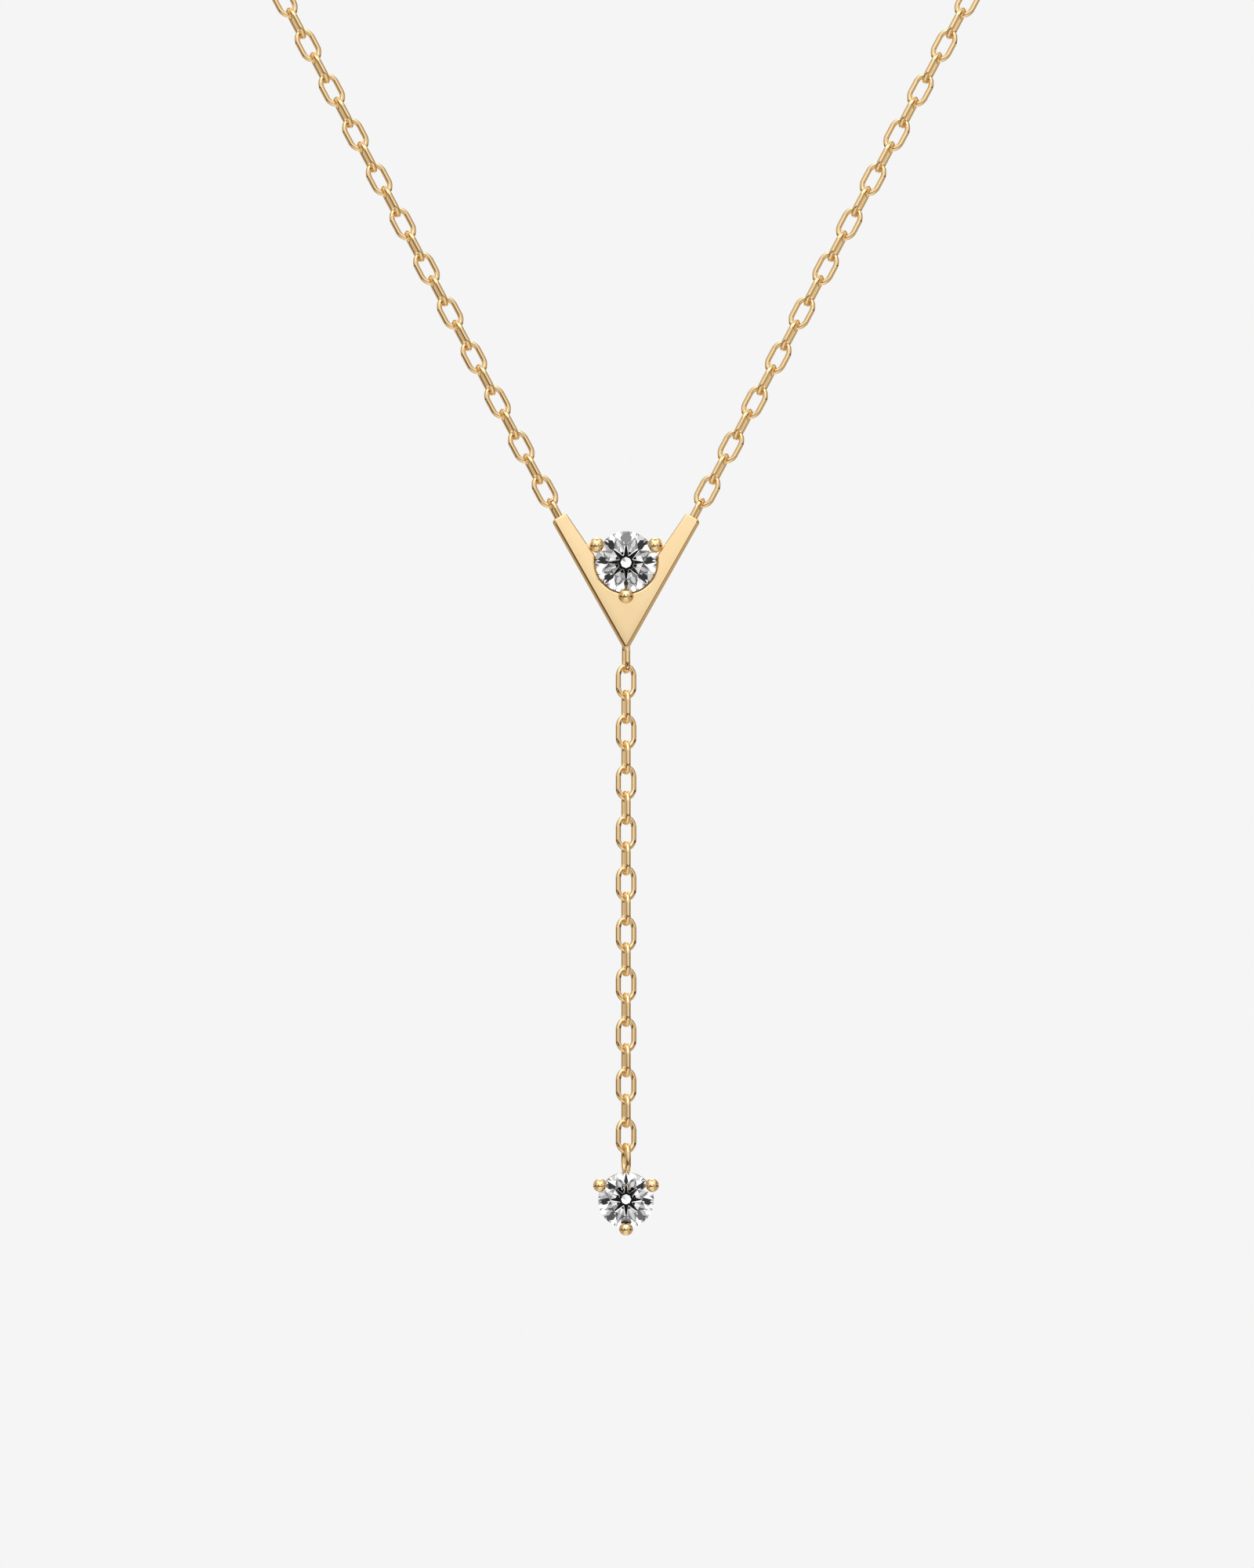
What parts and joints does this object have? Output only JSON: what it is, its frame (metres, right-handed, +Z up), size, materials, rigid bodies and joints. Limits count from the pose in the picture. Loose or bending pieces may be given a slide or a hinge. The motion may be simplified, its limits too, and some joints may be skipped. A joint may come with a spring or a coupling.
{
  "type": "y necklace",
  "caption": "Fine gold y necklace: a V-shaped plate with a round brilliant, and a short cable chain below it that ends in a smaller brilliant in a three-prong setting.",
  "frame": {"origin": "the point of the nape that the fastening rests on, midway between the two ends of the hidden chain", "axes": "+Z up, the way the necklace hangs; the front of the pendant faces -Y; +X to the right as seen from the front"},
  "size_m": [0.105, 0.1141, 0.1516],
  "materials": {
    "satin_gold": "fine satin, slightly worn bright along its edges",
    "bright_gold": "polished",
    "clear_stone": "polished facets"
  },
  "bodies": {
    "necklace": {"chevron": "satin_gold", "centre_stone": "clear_stone", "drop_chain": "bright_gold", "neck_links_left": "bright_gold", "neck_links_right": "bright_gold", "neck_chain_left": "bright_gold", "neck_chain_right": "bright_gold", "clasp": "bright_gold", "end_ring": "bright_gold"},
    "drop": {"drop_setting": "bright_gold", "drop_stone": "clear_stone"}
  },
  "joints": [
    {"name": "drop_swing", "type": "hinge", "parent": "necklace", "child": "drop", "pos_m": [0, -0.11, -0.14433], "axis": [0.9659, 0.2588, 0], "range_deg": [-75, 75]}
  ]
}
